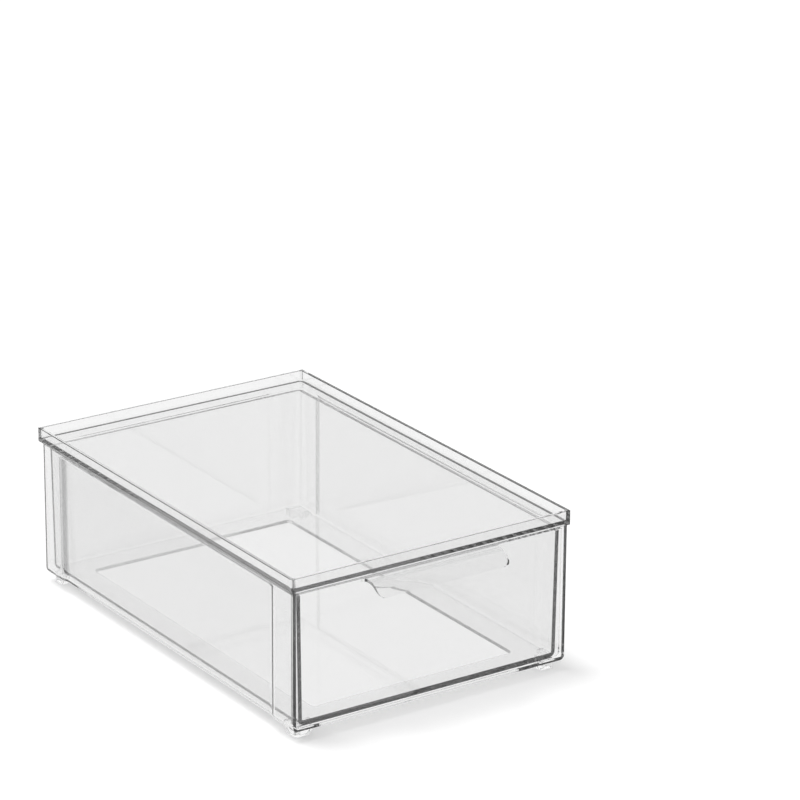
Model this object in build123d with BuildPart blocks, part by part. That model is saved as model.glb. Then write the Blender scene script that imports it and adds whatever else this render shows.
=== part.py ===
"""Stackable drawer box in clear moulded plastic.

A case with an open front stands on four corner feet. A rimmed tray closes it
on top, and the feet of the next box stand inside that rim. A one-piece drawer
with a curled grip lip slides out of the front.

Frame: millimetres, +Z up, the front of the box faces -Y, +X to the right.
Origin: middle of the footprint, grip lip included, at the height that the
feet stand on.
"""

import os
from math import acos, cos, degrees, radians, sin, sqrt, tan

from build123d import *

# ---- Driving dimensions -----------------------------------------------------

# Whole box
rim_width = 203.0  # outside of the rim, left to right
rim_depth = 304.0  # outside of the rim, front to back
total_height = 106.3  # from the feet to the top of the rim

# Top tray: a plate inside an upright rim
rim_wall = 2.3  # thickness of the rim
rim_corner_radius = 0.8  # plan radius of its outer corners
rim_inner_radius = 1.5  # plan radius of its inner corners
rim_rise = 6.2  # how far the rim stands above the plate
plate_thickness = 2.7
skirt_drop = 0.4  # how far the rim hangs below the plate
rim_edge_radius = 0.5  # rounding of the rim's top edges

# Case body: two sides, a back and a floor ledge
body_inset = 1.5  # the rim stands this far proud of the body
body_wall = 2.3
body_corner_radius = 3.6
body_edge_radius = 3.2  # rounding of the outer bottom edges
body_mouth_radius = 0.3  # rounding of the front edges
ledge_thickness = 2.3
lap_clearance = 0.2  # between the body's top tongue and the tray's skirt

# Recessed panels in the sides and the back
recess_depth = 1.4
recess_bend = 8.5  # radius of the two bends that step a wall inwards
side_post = 21.4  # plain wall before and behind a side's panel
back_post = 24.9  # plain wall beside the back's panel
top_band = 3.6  # plain wall above the panels, below the skirt

# Opening in the case floor
ledge_side = 26.0  # width of the ledge that is left along the sides
ledge_front = 20.0
ledge_back = 24.4
floor_opening_radius = 3.0

# Feet
foot_height = 6.4
foot_inset = 4.8  # from the body's outer faces
foot_length = 12.0  # outside length of each arm of the L
foot_width = 5.5
foot_corner_radius = 2.0  # plan radius of the outer corner
foot_end_radius = 4.0  # rounding of the bottom edge at the end of each arm
foot_edge_radius = 0.8  # rounding of the other edges

# Drawer bin
bin_wall = 2.7
bin_floor = 2.8
bin_draft = 0.85  # degrees, each side leans in towards the floor
bin_edge_radius = 3.6  # rounding of the outer bottom edges and rear corners
bin_top_gap = 4.4  # below the top plate
side_clearance = 0.5  # between bin and recessed panels, at the bin's top
rear_clearance = 0.6  # between bin and recessed back panel
floor_clearance = 0.3  # between bin and ledge

# Drawer front
front_setback = 1.5  # behind the case body's front edges
front_thickness = 2.6
front_top_gap = 3.0  # below the top plate
front_side_clearance = 0.5
front_drop = 0.0  # how far the front reaches below the bin's floor
front_corner_radius = 3.0

# Grip lip: it leads level out of the top of the drawer front and curls down
lip_width = 95.4
lip_thickness = 1.9
lip_level = 3.5  # level stretch before it curls
lip_bend = 13.4  # radius of the curl's outer face
lip_turn = 66.0  # degrees that it curls down
lip_root_radius = 2.9  # plan radius where its ends flare into the front
lip_corner_radius = 5.0  # rounding of its free corners, seen from the front

cut_margin = 5.0  # how far cutting shapes run past what they cut

# ---- Levels and faces worked out from them ----------------------------------

plate_top = total_height - rim_rise
plate_underside = plate_top - plate_thickness
skirt_bottom = plate_underside - skirt_drop
recess_top = skirt_bottom - top_band
body_bottom = foot_height
ledge_top = body_bottom + ledge_thickness

# The lip stands proud of the rim's front face, so the rim is set back from the
# middle of the footprint by half of that.
lip_reach = lip_level + lip_bend * sin(radians(lip_turn))
lip_fall = lip_bend - (lip_bend - lip_thickness) * cos(radians(lip_turn))
lip_proud = lip_reach - body_inset - front_setback
rim_front = (lip_proud - rim_depth) / 2
rim_back = rim_front + rim_depth
rim_middle = (rim_front + rim_back) / 2

body_half_width = rim_width / 2 - body_inset
body_front = rim_front + body_inset
body_back = rim_back - body_inset
body_depth = body_back - body_front

# Two equal bends that step a wall in by the recess depth: how far they turn,
# and how long the step is along the wall.
step_angle = degrees(acos(1 - recess_depth / (2 * recess_bend)))
step_length = sqrt(4 * recess_bend * recess_depth - recess_depth**2)

panel_inner_half_width = body_half_width - recess_depth - body_wall
panel_inner_back = body_back - recess_depth - body_wall

bin_top = plate_underside - bin_top_gap
bin_underside = ledge_top + floor_clearance
bin_half_width = panel_inner_half_width - side_clearance
bin_back = panel_inner_back - rear_clearance
front_face = body_front + front_setback
front_back = front_face + front_thickness
front_half_width = body_half_width - body_wall - front_side_clearance
front_top = plate_underside - front_top_gap
front_bottom = bin_underside - front_drop


def side_step(x_face, y_start, inset, direction):
    """Two tangent bends that step a side wall in by the recess depth.

    The bends keep their centres at every inset, so two outlines at different
    insets stay the same distance apart all along the step.
    """
    out_bend = CenterArc(
        (x_face + recess_bend, y_start),
        recess_bend - inset,
        180,
        -direction * step_angle,
    )
    in_bend = CenterArc(
        (x_face + recess_depth - recess_bend, y_start + direction * step_length),
        recess_bend + inset,
        0,
        -direction * step_angle,
    )
    return out_bend, in_bend


def back_step(x_start, y_face, inset, direction):
    """The same two bends in the back wall."""
    out_bend = CenterArc(
        (x_start, y_face - recess_bend),
        recess_bend - inset,
        90,
        -direction * step_angle,
    )
    in_bend = CenterArc(
        (x_start + direction * step_length, y_face - recess_depth + recess_bend),
        recess_bend + inset,
        270,
        -direction * step_angle,
    )
    return out_bend, in_bend


def panelled_outline(inset, front):
    """Plan of the case body with its recessed panels, drawn at an inset.

    Drawn up the left side and along the back to the middle, then mirrored.
    """
    left = -body_half_width
    side_start = body_front + side_post
    side_end = body_back - side_post
    back_start = left + back_post
    corner = body_corner_radius
    with BuildLine() as half:
        Line((0, front), (left + inset, front))
        Line((left + inset, front), (left + inset, side_start))
        side_step(left, side_start, inset, 1)
        Line(
            (left + recess_depth + inset, side_start + step_length),
            (left + recess_depth + inset, side_end - step_length),
        )
        side_step(left, side_end, inset, -1)
        Line((left + inset, side_end), (left + inset, body_back - corner))
        CenterArc((left + corner, body_back - corner), corner - inset, 180, -90)
        Line((left + corner, body_back - inset), (back_start, body_back - inset))
        back_step(back_start, body_back, inset, 1)
        Line(
            (back_start + step_length, body_back - recess_depth - inset),
            (0, body_back - recess_depth - inset),
        )
        mirror(about=Plane.YZ)
    make_face(half.edges())


def plain_outline(inset, front):
    """Plan of the case body without its panels: only the rear corners are round."""
    width = 2 * (body_half_width - inset)
    depth = body_back - inset - front
    with Locations((0, front + depth / 2)):
        block = Rectangle(width, depth)
    rear = block.vertices().group_by(Axis.Y)[-1]
    fillet(rear, radius=body_corner_radius - inset)


def rim_outline(inset, radius):
    """Plan of the rim, drawn at an inset from its outside."""
    with Locations((0, rim_middle)):
        RectangleRounded(rim_width - 2 * inset, rim_depth - 2 * inset, radius)


# ---- Case body --------------------------------------------------------------

# The hollow of the case, open at the front and the top. Its bottom edges keep
# the wall's thickness round the bends of the outside.
with BuildPart() as case_hollow:
    with BuildSketch(Plane.XY.offset(ledge_top)):
        panelled_outline(body_wall, body_front - cut_margin)
    extrude(amount=recess_top - ledge_top)
    bottom_edges = case_hollow.faces().sort_by(Axis.Z)[0].edges()
    fillet(bottom_edges, radius=body_edge_radius - ledge_thickness)
    with BuildSketch(Plane.XY.offset(recess_top)):
        plain_outline(body_wall, body_front - cut_margin)
    extrude(amount=plate_underside - recess_top + cut_margin)

with BuildPart() as case_body:
    with BuildSketch(Plane.XY.offset(body_bottom)):
        panelled_outline(0, body_front)
    extrude(amount=recess_top - body_bottom)
    outer_edges = case_body.faces().sort_by(Axis.Z)[0].edges()
    fillet(outer_edges.sort_by(Axis.Y)[1:], radius=body_edge_radius)

    # Plain band above the panels, then the narrower tongue inside the skirt.
    with BuildSketch(Plane.XY.offset(recess_top)):
        plain_outline(0, body_front)
    extrude(amount=skirt_bottom - recess_top)
    tongue_inset = rim_wall + lap_clearance - body_inset
    with BuildSketch(Plane.XY.offset(skirt_bottom)):
        plain_outline(tongue_inset, rim_front + rim_wall + rim_inner_radius)
    extrude(amount=skirt_drop)

    add(case_hollow.part, mode=Mode.SUBTRACT)

    # The edges round the open front, outside and inside, up both walls.
    mouth_edges = case_body.edges().filter_by(Axis.Z).group_by(Axis.Y)[0]
    fillet(mouth_edges, radius=body_mouth_radius)

    # Opening in the floor, which leaves a ledge all round.
    with BuildSketch(Plane.XY.offset(body_bottom)):
        opening_depth = body_depth - ledge_front - ledge_back
        with Locations((0, body_front + ledge_front + opening_depth / 2)):
            RectangleRounded(
                2 * (body_half_width - ledge_side),
                opening_depth,
                floor_opening_radius,
            )
    extrude(amount=ledge_thickness, mode=Mode.SUBTRACT)

# Four L-shaped feet, with the corner of each L towards a corner of the case. The
# front left one is made and mirrored twice.
with BuildPart() as feet:
    corner_x = -body_half_width + foot_inset
    corner_y = body_front + foot_inset
    with BuildSketch(Plane.XY.offset(body_bottom)) as foot_plan:
        with BuildLine():
            Polyline(
                (corner_x, corner_y),
                (corner_x + foot_length, corner_y),
                (corner_x + foot_length, corner_y + foot_width),
                (corner_x + foot_width, corner_y + foot_width),
                (corner_x + foot_width, corner_y + foot_length),
                (corner_x, corner_y + foot_length),
                close=True,
            )
        make_face()
        fillet(foot_plan.vertices().sort_by_distance((corner_x, corner_y))[0], foot_corner_radius)
    extrude(amount=-foot_height)
    sole_edges = feet.faces().sort_by(Axis.Z)[0].edges()
    end_edges = [sole_edges.filter_by(Axis.X).sort_by(Axis.Y)[-1]]
    end_edges += [sole_edges.filter_by(Axis.Y).sort_by(Axis.X)[-1]]
    fillet(end_edges, radius=foot_end_radius)
    fillet(feet.edges().group_by(Axis.Z)[0], radius=foot_edge_radius)
    mirror(about=Plane.YZ)
    mirror(about=Plane.XZ.offset(-rim_middle))

with BuildPart() as case_moulding:
    add(case_body.part)
    add(feet.part)

# ---- Top tray ---------------------------------------------------------------

with BuildPart() as top_tray:
    with BuildSketch(Plane.XY.offset(skirt_bottom)):
        rim_outline(0, rim_corner_radius)
    extrude(amount=total_height - skirt_bottom)
    with BuildSketch(Plane.XY.offset(plate_top)):
        rim_outline(rim_wall, rim_inner_radius)
    extrude(amount=rim_rise, mode=Mode.SUBTRACT)
    with BuildSketch(Plane.XY.offset(skirt_bottom)):
        rim_outline(rim_wall, rim_inner_radius)
    extrude(amount=skirt_drop, mode=Mode.SUBTRACT)
    rim_top = top_tray.faces().sort_by(Axis.Z)[-1]
    fillet(rim_top.edges(), radius=rim_edge_radius)

# ---- Drawer -----------------------------------------------------------------


def bin_section(inset, underside, top, radius):
    """Cross-section of the bin: sides lean in by the draft, bottom corners round."""
    lean = tan(radians(bin_draft))
    top_half = bin_half_width - inset + lean * (top - bin_top)
    bottom_half = bin_half_width - inset - lean * (bin_top - underside)
    with BuildLine() as outline:
        Polyline(
            (-bottom_half, underside),
            (bottom_half, underside),
            (top_half, top),
            (-top_half, top),
            close=True,
        )
    section = make_face(outline.edges())
    fillet(section.vertices().group_by(Axis.Y)[0], radius=radius)


bin_inner_radius = bin_edge_radius - bin_wall

# Hollow of the bin, from the back of the drawer front to its rear wall.
with BuildPart() as bin_hollow:
    with BuildSketch(Plane.XZ.offset(-(bin_back - bin_wall))):
        bin_section(bin_wall, bin_underside + bin_floor, bin_top + cut_margin, bin_inner_radius)
    extrude(amount=bin_back - bin_wall - front_back)
    rear = bin_hollow.faces().sort_by(Axis.Y)[-1]
    fillet(rear.edges().sort_by(Axis.Z)[:-1], radius=bin_inner_radius)

# The grip lip: its profile, cut to a front view with two round corners. Its
# level stretch flares into the drawer front at both ends.
with BuildPart() as grip_lip:
    with BuildSketch(Plane.YZ.offset(-lip_width / 2)):
        with BuildLine():
            level = Line((front_back, front_top), (front_face - lip_level, front_top))
            curl = JernArc(level @ 1, level % 1, lip_bend, lip_turn)
            offset(level + curl, amount=lip_thickness, side=Side.LEFT)
        make_face()
    extrude(amount=lip_width)
    with BuildSketch(Plane.XZ.offset(-front_back)):
        with Locations((0, front_top - lip_fall / 2)):
            front_view = Rectangle(lip_width, lip_fall)
        fillet(front_view.vertices().group_by(Axis.Y)[0], radius=lip_corner_radius)
    extrude(amount=lip_reach + front_thickness, mode=Mode.INTERSECT)
    with BuildSketch(Plane.XY.offset(front_top)) as lip_root:
        with Locations((0, front_back - (lip_level + front_thickness) / 2)):
            Rectangle(lip_width, lip_level + front_thickness)
        with Locations((0, (front_face + front_back) / 2)):
            Rectangle(lip_width + 4 * lip_root_radius, front_thickness)
        corners = lip_root.vertices().group_by(Axis.Y)[1].sort_by(Axis.X)
        fillet(corners[1:-1], radius=lip_root_radius)
    extrude(amount=-lip_thickness)

with BuildPart() as drawer:
    with BuildSketch(Plane.XZ.offset(-bin_back)):
        bin_section(0, bin_underside, bin_top, bin_edge_radius)
    extrude(amount=bin_back - front_face)
    rear = drawer.faces().sort_by(Axis.Y)[-1]
    fillet(rear.edges().sort_by(Axis.Z)[:-1], radius=bin_edge_radius)

    # Drawer front, wider and taller than the bin behind it.
    with BuildSketch(Plane.XZ.offset(-front_back)):
        with Locations((0, (front_top + front_bottom) / 2)):
            front = Rectangle(2 * front_half_width, front_top - front_bottom)
        fillet(front.vertices().group_by(Axis.Y)[0], radius=front_corner_radius)
    extrude(amount=front_thickness)

    add(bin_hollow.part, mode=Mode.SUBTRACT)
    add(grip_lip.part)

# ---- Labels and export ------------------------------------------------------

case_moulding.part.label = "case_body"
top_tray.part.label = "top_tray"
drawer.part.label = "drawer"

os.makedirs("parts", exist_ok=True)
export_step(case_moulding.part, "parts/case_body.step")
export_step(top_tray.part, "parts/top_tray.step")
export_step(drawer.part, "parts/drawer.step")
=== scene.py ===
"""Looks of a clear stackable drawer box: plastic finishes, floor, light and camera."""

import bpy
import numpy as np
from bpy.props import FloatProperty, FloatVectorProperty, PointerProperty
from mathutils import Euler, Matrix, Vector

bl_info = {
    "name": "Stackable Drawer Box",
    "version": (1, 0, 0),
    "blender": (4, 5, 0),
    "location": "View3D > Sidebar > Drawer Box",
    "description": "Clear moulded finishes, floor, light and camera for a drawer box",
    "category": "Object",
}

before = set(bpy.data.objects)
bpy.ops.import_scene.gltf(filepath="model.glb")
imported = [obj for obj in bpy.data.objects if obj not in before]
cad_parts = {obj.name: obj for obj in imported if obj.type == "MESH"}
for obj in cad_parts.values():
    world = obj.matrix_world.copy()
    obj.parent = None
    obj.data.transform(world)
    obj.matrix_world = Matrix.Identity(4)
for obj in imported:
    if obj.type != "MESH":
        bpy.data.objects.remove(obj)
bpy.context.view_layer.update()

MM = 0.001

# The bends between the side panels and the rear posts of the case, over which a band of
# painted shade is laid: where the side walls begin in X, then the middle and half the length
# along Y and along Z.
BEND_FROM_X = 95.2 * MM
BEND_MIDDLE_Y, BEND_HALF_Y = 131.0 * MM, 3.2 * MM
BEND_MIDDLE_Z, BEND_HALF_Z = 52.5 * MM, 40.5 * MM
BEND_FADE = 0.6 * MM  # width of the soft edge of the painted shade band there

LAMP_FROM = (-0.15, 0.24, 1.0)  # direction that the soft lamp shines from

# The camera stands well away, as for a product picture, so that edges stay nearly
# parallel. Place in metres, lens and sensor in millimetres, angles in degrees.
CAMERA_PLACE = (-1.29784, -2.01957, 1.04091)
CAMERA_LENS = 184.6
CAMERA_SENSOR = 36.0
CAMERA_REACH = 100.0  # metres, past the far edge of the floor
CAMERA_TURN = -34.17  # from +Y
CAMERA_DIP = 20.28  # below level
CAMERA_ROLL = 0.41

# Light crosses many walls on its way, and runs trapped along them to their edges.
BOUNCES = 128


# ---- Colour and nodes -------------------------------------------------------


def linear(hex_colour):
    """An sRGB hex colour as linear RGBA."""
    parts = np.array([int(hex_colour[i : i + 2], 16) for i in (1, 3, 5)]) / 255
    low = parts / 12.92
    high = ((parts + 0.055) / 1.055) ** 2.4
    return (*np.where(parts <= 0.04045, low, high).tolist(), 1.0)


def add_node(tree, kind, values=None, links=None, **settings):
    """Adds a node with its settings, its socket values and its incoming links."""
    node = tree.nodes.new(kind)
    for name, value in settings.items():
        setattr(node, name, value)
    for socket, value in (values or {}).items():
        node.inputs[socket].default_value = value
    for socket, source in (links or {}).items():
        tree.links.new(source, node.inputs[socket])
    return node


def new_material(name):
    """An empty node material."""
    material = bpy.data.materials.new(name)
    material.use_nodes = True
    material.node_tree.nodes.clear()
    return material


# ---- Settings ---------------------------------------------------------------


class PlasticSettings(bpy.types.PropertyGroup):
    """The clear plastic of the three mouldings."""

    refraction: FloatProperty(
        name="Refraction", description="Index of refraction of clear polystyrene", default=1.57
    )
    absorption: FloatProperty(
        name="Absorption",
        description="Light lost in a metre of plastic, as an exponent",
        default=5.5,
    )
    colour: FloatVectorProperty(
        name="Colour",
        description="Share of light that a wall lets through to the eye",
        subtype="COLOR",
        size=4,
        default=linear("#f8f8f8"),
    )
    # Painted shade: a darker colour put into the base colour at the rear bends, standing in
    # for the grey that light trapped along the wall gives there.
    painted_bend_shade: FloatVectorProperty(
        name="Painted Bend Shade",
        description="The same at the bends in front of the rear posts",
        subtype="COLOR",
        size=4,
        default=linear("#c4c4c4"),
    )
    lamp_tint: FloatVectorProperty(
        name="Lamp Tint",
        description="Share of lamp light that each surface lets onto the floor",
        subtype="COLOR",
        size=4,
        default=linear("#f3f3f3"),
    )


class StageSettings(bpy.types.PropertyGroup):
    """Floor and light."""

    floor_size: FloatProperty(
        name="Floor Size", description="Side of the square floor", default=20.0, unit="LENGTH"
    )
    floor_colour: FloatVectorProperty(
        name="Floor Colour",
        description="Colour of the paper on the floor",
        subtype="COLOR",
        size=4,
        default=linear("#f8f8f8"),
    )
    floor_glow: FloatProperty(
        name="Floor Glow",
        description="Share of the floor's white that no shadow takes away",
        default=0.1,
        subtype="FACTOR",
    )
    floor_glow_inside: FloatProperty(
        name="Floor Glow Inside",
        description="The same share where the floor is seen through the plastic",
        default=1.0,
        subtype="FACTOR",
    )
    sky: FloatProperty(name="Sky", description="Strength of the even light", default=0.53)
    sun: FloatProperty(name="Sun", description="Strength of the soft lamp", default=2.2)
    sun_spread: FloatProperty(
        name="Sun Spread",
        description="How wide the soft lamp looks from the box",
        default=0.3,
        subtype="ANGLE",
        unit="ROTATION",
    )


# ---- Plastic ----------------------------------------------------------------


def clear_polystyrene(name):
    """Injection-moulded clear polystyrene: glass-clear, with dark grey cut edges.

    Light that enters a wall edge-on is trapped along it, and the slight loss
    in the plastic turns that edge grey.
    """
    plastic = bpy.context.scene.box_plastic
    material = new_material(name)
    tree = material.node_tree
    body = add_node(
        tree,
        "ShaderNodeBsdfPrincipled",
        values={
            "Base Color": tuple(plastic.colour),
            "Roughness": 0.0,
            "IOR": plastic.refraction,
            "Transmission Weight": 1.0,
        },
    )
    # Lamp light goes straight through to the floor, so the box casts a pale shadow.
    clear = add_node(
        tree, "ShaderNodeBsdfTransparent", values={"Color": tuple(plastic.lamp_tint)}
    )
    path = add_node(tree, "ShaderNodeLightPath")
    mixed = add_node(
        tree,
        "ShaderNodeMixShader",
        links={0: path.outputs["Is Shadow Ray"], 1: body.outputs[0], 2: clear.outputs[0]},
    )
    loss = add_node(
        tree,
        "ShaderNodeVolumeAbsorption",
        values={"Color": (0.0, 0.0, 0.0, 1.0), "Density": plastic.absorption},
    )
    add_node(
        tree,
        "ShaderNodeOutputMaterial",
        links={"Surface": mixed.outputs[0], "Volume": loss.outputs[0]},
    )
    return material


def paint_rear_bend_shade(material):
    """Paints shade onto the moulded plastic where the side walls bend in front of the rear
    posts.

    On the real box a bend sends the eye's ray along inside the wall, so the wall shows as an
    upright grey band there, which tells the recessed panel from the post. Here that grey
    is painted shade in the base colour, not light trapped by the shape. The band is the
    product of three soft steps, one for each axis.
    """
    plastic = bpy.context.scene.box_plastic
    tree = material.node_tree
    place = add_node(tree, "ShaderNodeTexCoord")
    axes = add_node(tree, "ShaderNodeSeparateXYZ", links={0: place.outputs["Object"]})
    band = None
    for axis, middle, start, end in (
        ("X", 0.0, BEND_FROM_X, BEND_FROM_X + BEND_FADE),
        ("Y", BEND_MIDDLE_Y, BEND_HALF_Y, BEND_HALF_Y - BEND_FADE),
        ("Z", BEND_MIDDLE_Z, BEND_HALF_Z, BEND_HALF_Z - BEND_FADE),
    ):
        away = add_node(
            tree,
            "ShaderNodeMath",
            operation="SUBTRACT",
            values={1: middle},
            links={0: axes.outputs[axis]},
        )
        distance = add_node(
            tree, "ShaderNodeMath", operation="ABSOLUTE", links={0: away.outputs[0]}
        )
        share = add_node(
            tree,
            "ShaderNodeMapRange",
            values={"From Min": start, "From Max": end},
            links={"Value": distance.outputs[0]},
        )
        if band is not None:
            share = add_node(
                tree,
                "ShaderNodeMath",
                operation="MULTIPLY",
                links={0: band.outputs[0], 1: share.outputs[0]},
            )
        band = share
    # Inputs 6 and 7 of the Mix node are its two colours, and output 2 is its colour.
    # Painted shade: inside the band the base colour turns to the darker bend colour.
    tint = add_node(
        tree,
        "ShaderNodeMix",
        data_type="RGBA",
        values={6: tuple(plastic.colour), 7: tuple(plastic.painted_bend_shade)},
        links={0: band.outputs[0]},
    )
    tree.links.new(tint.outputs[2], tree.nodes["Principled BSDF"].inputs["Base Color"])


def dress(node_name, material):
    """Gives a CAD node its finish, in every slot of its object."""
    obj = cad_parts[node_name]
    if not obj.material_slots:
        raise RuntimeError(f"{node_name} has no material slot")
    for slot in obj.material_slots:
        slot.material = material


# ---- Floor, light and camera ------------------------------------------------


def add_eye_test(tree):
    """Finds the rays that reach the eye straight, in a reflection or through plastic.

    Light that has left a matt surface on its way is no such ray, so the floor
    under the clear box is lit by the same light as the floor beside it.
    Returns the test for straight rays and the test for the others.
    """
    path = add_node(tree, "ShaderNodeLightPath")
    bent = add_node(
        tree,
        "ShaderNodeMath",
        operation="MAXIMUM",
        links={0: path.outputs["Is Transmission Ray"], 1: path.outputs["Is Glossy Ray"]},
    )
    before_matt = add_node(
        tree,
        "ShaderNodeMath",
        operation="LESS_THAN",
        values={1: 0.5},  # halfway between no matt surface and one
        links={0: path.outputs["Diffuse Depth"]},
    )
    seen_bent = add_node(
        tree,
        "ShaderNodeMath",
        operation="MULTIPLY",
        links={0: bent.outputs[0], 1: before_matt.outputs[0]},
    )
    return path.outputs["Is Camera Ray"], seen_bent.outputs[0]


def white_paper(stage):
    """Matt white paper, cut from a roll: it takes a soft shadow and has no gloss.

    A share of its white is there without any light, a small one beside the box
    and all of it where it is seen through the plastic, as in the photograph.
    """
    material = new_material("matt white paper floor")
    tree = material.node_tree
    shown = add_node(
        tree, "ShaderNodeBsdfDiffuse", values={"Color": tuple(stage.floor_colour)}
    )
    white = add_node(tree, "ShaderNodeEmission", values={"Strength": 1.0})
    straight, bent = add_eye_test(tree)
    for test, share in ((straight, stage.floor_glow), (bent, stage.floor_glow_inside)):
        glow = add_node(
            tree, "ShaderNodeMath", operation="MULTIPLY", values={1: share}, links={0: test}
        )
        shown = add_node(
            tree,
            "ShaderNodeMixShader",
            links={0: glow.outputs[0], 1: shown.outputs[0], 2: white.outputs[0]},
        )
    add_node(tree, "ShaderNodeOutputMaterial", links={"Surface": shown.outputs[0]})
    return material


def lay_floor(scene, stage):
    """One level square in the middle of the scene, at the height of the soles."""
    half = stage.floor_size / 2
    mesh = bpy.data.meshes.new("floor")
    corners = [(-half, -half, 0.0), (half, -half, 0.0), (half, half, 0.0), (-half, half, 0.0)]
    mesh.from_pydata(corners, [], [(0, 1, 2, 3)])
    floor = bpy.data.objects.new("floor", mesh)
    scene.collection.objects.link(floor)
    mesh.materials.append(white_paper(stage))


def light_evenly(scene, stage):
    """Dim even light from all round, which the eye sees as a white background."""
    world = bpy.data.worlds.new("even studio light")
    scene.world = world
    world.use_nodes = True
    tree = world.node_tree
    tree.nodes.clear()
    straight, bent = add_eye_test(tree)
    seen = add_node(tree, "ShaderNodeMath", operation="MAXIMUM", links={0: straight, 1: bent})
    dim, white = (
        add_node(
            tree, "ShaderNodeBackground", values={"Color": (1, 1, 1, 1), "Strength": strength}
        )
        for strength in (stage.sky, 1.0)
    )
    mixed = add_node(
        tree,
        "ShaderNodeMixShader",
        links={0: seen.outputs[0], 1: dim.outputs[0], 2: white.outputs[0]},
    )
    add_node(tree, "ShaderNodeOutputWorld", links={"Surface": mixed.outputs[0]})
    # Without its own samples, the even light is found only by bounced rays, which
    # the plastic bends as it bends the eye's.
    world.cycles.sampling_method = "NONE"


def hang_lamp(scene, stage):
    """One wide soft lamp, high up behind the box and a little to its left.

    Its light reaches the floor only straight through the plastic, tinted by
    each surface, and isn't counted a second time as a caustic.
    """
    light = bpy.data.lights.new("soft lamp", "SUN")
    light.energy = stage.sun
    light.angle = stage.sun_spread
    light.cycles.use_multiple_importance_sampling = False
    lamp = bpy.data.objects.new("soft lamp", light)
    lamp.rotation_euler = Vector(LAMP_FROM).to_track_quat("Z", "Y").to_euler()
    scene.collection.objects.link(lamp)


def place_camera(scene):
    """The photograph's view of the box."""
    camera_data = bpy.data.cameras.new("camera")
    camera_data.lens = CAMERA_LENS
    camera_data.sensor_width = CAMERA_SENSOR
    camera_data.clip_end = CAMERA_REACH
    camera = bpy.data.objects.new("camera", camera_data)
    scene.collection.objects.link(camera)
    turn = Euler((np.radians(90 - CAMERA_DIP), 0.0, np.radians(CAMERA_TURN)))
    roll = Matrix.Rotation(np.radians(CAMERA_ROLL), 4, "Z")
    camera.matrix_world = Matrix.Translation(CAMERA_PLACE) @ turn.to_matrix().to_4x4() @ roll
    scene.camera = camera


# ---- Operators --------------------------------------------------------------


class BOX_OT_stage(bpy.types.Operator):
    """Build the floor, the light and the camera"""

    bl_idname = "drawer_box.stage"
    bl_label = "Stage"

    def execute(self, context):
        scene = context.scene
        lay_floor(scene, scene.box_stage)
        light_evenly(scene, scene.box_stage)
        hang_lamp(scene, scene.box_stage)
        place_camera(scene)
        scene.view_settings.view_transform = "Standard"
        scene.cycles.max_bounces = BOUNCES
        scene.cycles.transmission_bounces = BOUNCES
        scene.cycles.glossy_bounces = BOUNCES
        scene.cycles.transparent_max_bounces = BOUNCES
        scene.cycles.diffuse_bounces = 1
        # The plastic stays sharp for light on its way to the floor. If it were
        # blurred, the lamp would be counted again in it, as a bright band.
        scene.cycles.blur_glossy = 0.0
        return {"FINISHED"}


class BOX_OT_case_body(bpy.types.Operator):
    """Finish the case body"""

    bl_idname = "drawer_box.case_body"
    bl_label = "Case Body"

    def execute(self, context):
        material = clear_polystyrene("clear polystyrene moulded case")
        # Paints a grey shade band into the case's colour at the rear bends.
        paint_rear_bend_shade(material)
        dress("case_body", material)
        return {"FINISHED"}


class BOX_OT_top_tray(bpy.types.Operator):
    """Finish the top tray"""

    bl_idname = "drawer_box.top_tray"
    bl_label = "Top Tray"

    def execute(self, context):
        dress("top_tray", clear_polystyrene("clear polystyrene moulded tray"))
        return {"FINISHED"}


class BOX_OT_drawer(bpy.types.Operator):
    """Finish the drawer"""

    bl_idname = "drawer_box.drawer"
    bl_label = "Drawer"

    def execute(self, context):
        dress("drawer", clear_polystyrene("clear polystyrene moulded drawer"))
        return {"FINISHED"}


# ---- Panel and registration -------------------------------------------------


class BOX_PT_panel(bpy.types.Panel):
    """Lists the pieces of the drawer box"""

    bl_label = "Drawer Box"
    bl_idname = "BOX_PT_panel"
    bl_space_type = "VIEW_3D"
    bl_region_type = "UI"
    bl_category = "Drawer Box"

    def draw(self, context):
        column = self.layout.column()
        for settings in (context.scene.box_plastic, context.scene.box_stage):
            for name in settings.__annotations__:
                column.prop(settings, name)
        for operator in OPERATORS:
            column.operator(operator.bl_idname)


OPERATORS = (BOX_OT_stage, BOX_OT_case_body, BOX_OT_top_tray, BOX_OT_drawer)
CLASSES = (PlasticSettings, StageSettings, *OPERATORS, BOX_PT_panel)


def register():
    for cls in CLASSES:
        bpy.utils.register_class(cls)
    bpy.types.Scene.box_plastic = PointerProperty(type=PlasticSettings)
    bpy.types.Scene.box_stage = PointerProperty(type=StageSettings)


def unregister():
    del bpy.types.Scene.box_stage
    del bpy.types.Scene.box_plastic
    for cls in reversed(CLASSES):
        bpy.utils.unregister_class(cls)


def main():
    register()
    bpy.ops.drawer_box.stage()
    bpy.ops.drawer_box.case_body()
    bpy.ops.drawer_box.top_tray()
    bpy.ops.drawer_box.drawer()


if __name__ == "__main__":
    main()
